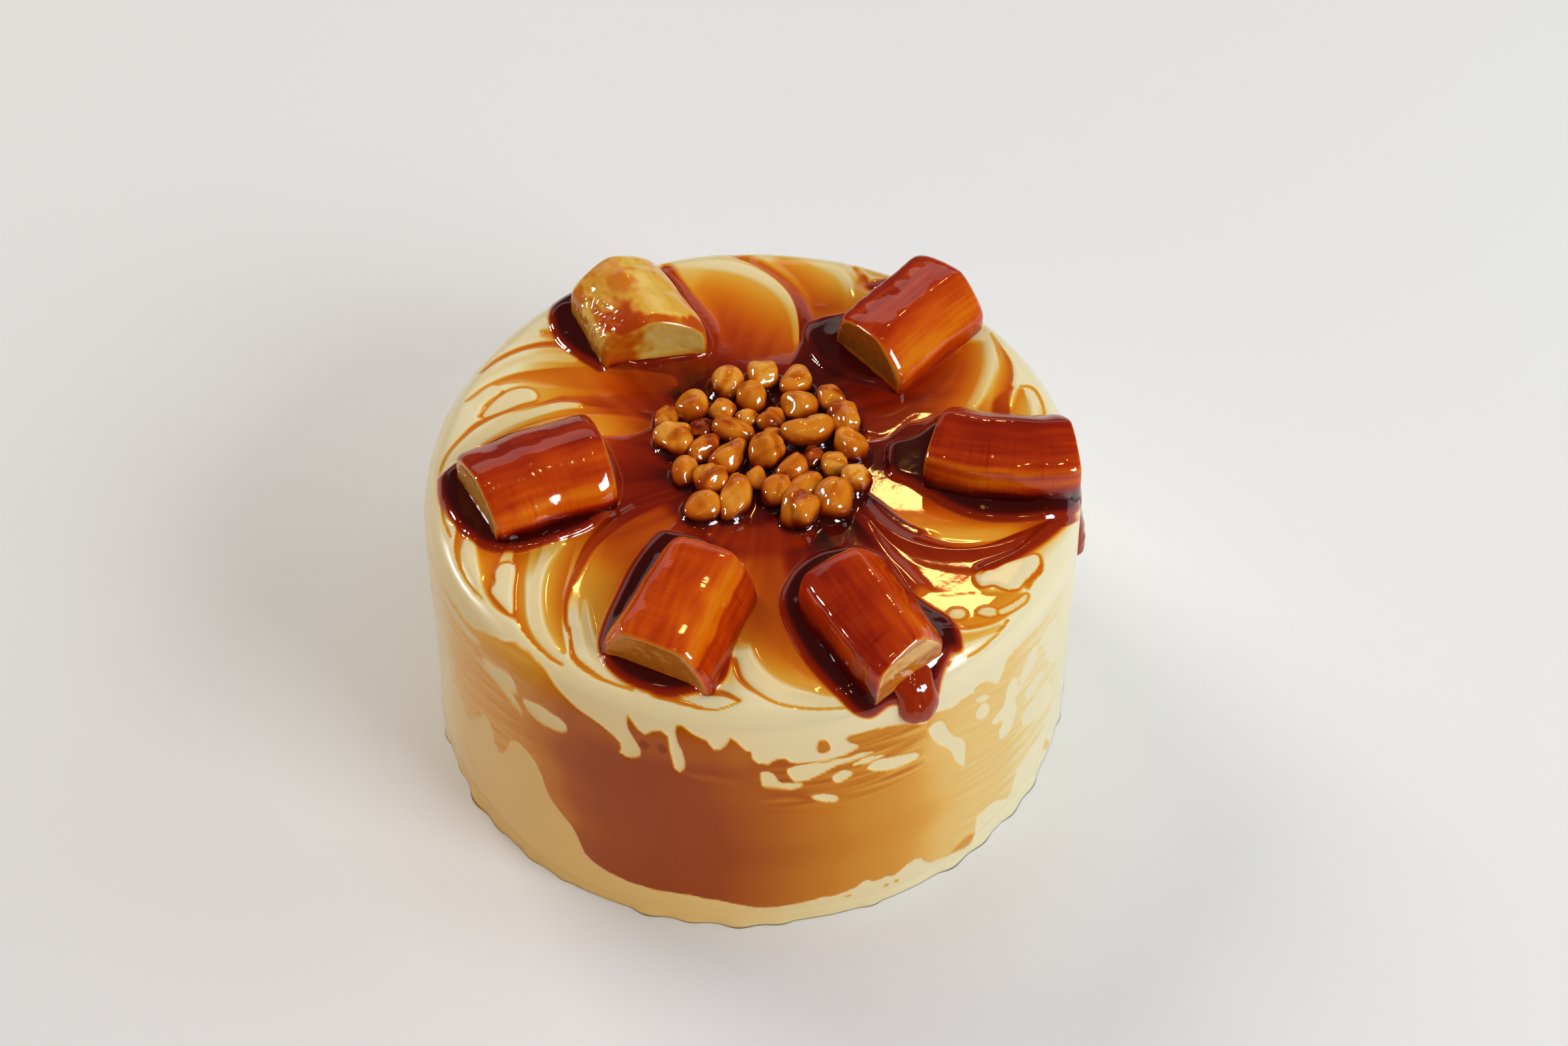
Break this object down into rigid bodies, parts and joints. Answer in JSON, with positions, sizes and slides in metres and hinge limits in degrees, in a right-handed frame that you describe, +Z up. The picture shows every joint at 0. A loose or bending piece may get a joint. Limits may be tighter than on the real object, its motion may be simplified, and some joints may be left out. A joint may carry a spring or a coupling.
{
  "type": "banana cake",
  "caption": "Tall round banana cake under swirled cream and poured caramel, topped with halved caramelised banana pieces like spokes and a heap of caramelised nuts.",
  "frame": {"origin": "middle of the flat underside, on the cake's upright axis", "axes": "+Z up out of the top, -Y towards the front of the cake, +X to the right seen from the front"},
  "size_m": [0.2146, 0.2147, 0.1175],
  "materials": {
    "cream_and_caramel_glaze": "very glossy ivory cream icing with thin to thick amber and red-brown caramel over it",
    "caramelised_banana": "banana flesh under a wet red-brown caramel coat",
    "pale_banana": "pale yellow banana flesh with a thin patchy caramel coat",
    "caramelised_nut": "roasted nuts in a clear glossy caramel coat"
  },
  "bodies": {
    "root": {"cake_body": "cream_and_caramel_glaze", "banana_1": "caramelised_banana", "banana_2": "caramelised_banana", "banana_3": "pale_banana", "banana_4": "caramelised_banana", "banana_5": "caramelised_banana", "banana_6": "caramelised_banana", "nut_01": "caramelised_nut", "nut_02": "caramelised_nut", "nut_03": "caramelised_nut", "nut_04": "caramelised_nut", "nut_05": "caramelised_nut", "nut_06": "caramelised_nut", "nut_07": "caramelised_nut", "nut_08": "caramelised_nut", "nut_09": "caramelised_nut", "nut_10": "caramelised_nut", "nut_11": "caramelised_nut", "nut_12": "caramelised_nut", "nut_13": "caramelised_nut", "nut_14": "caramelised_nut", "nut_15": "caramelised_nut", "nut_16": "caramelised_nut", "nut_17": "caramelised_nut", "nut_18": "caramelised_nut", "nut_19": "caramelised_nut", "nut_20": "caramelised_nut", "nut_21": "caramelised_nut", "nut_22": "caramelised_nut", "nut_23": "caramelised_nut", "nut_24": "caramelised_nut", "nut_25": "caramelised_nut", "nut_26": "caramelised_nut", "nut_27": "caramelised_nut", "nut_28": "caramelised_nut", "nut_29": "caramelised_nut", "nut_30": "caramelised_nut", "nut_31": "caramelised_nut", "nut_32": "caramelised_nut", "nut_33": "caramelised_nut", "nut_34": "caramelised_nut"}
  },
  "joints": []
}
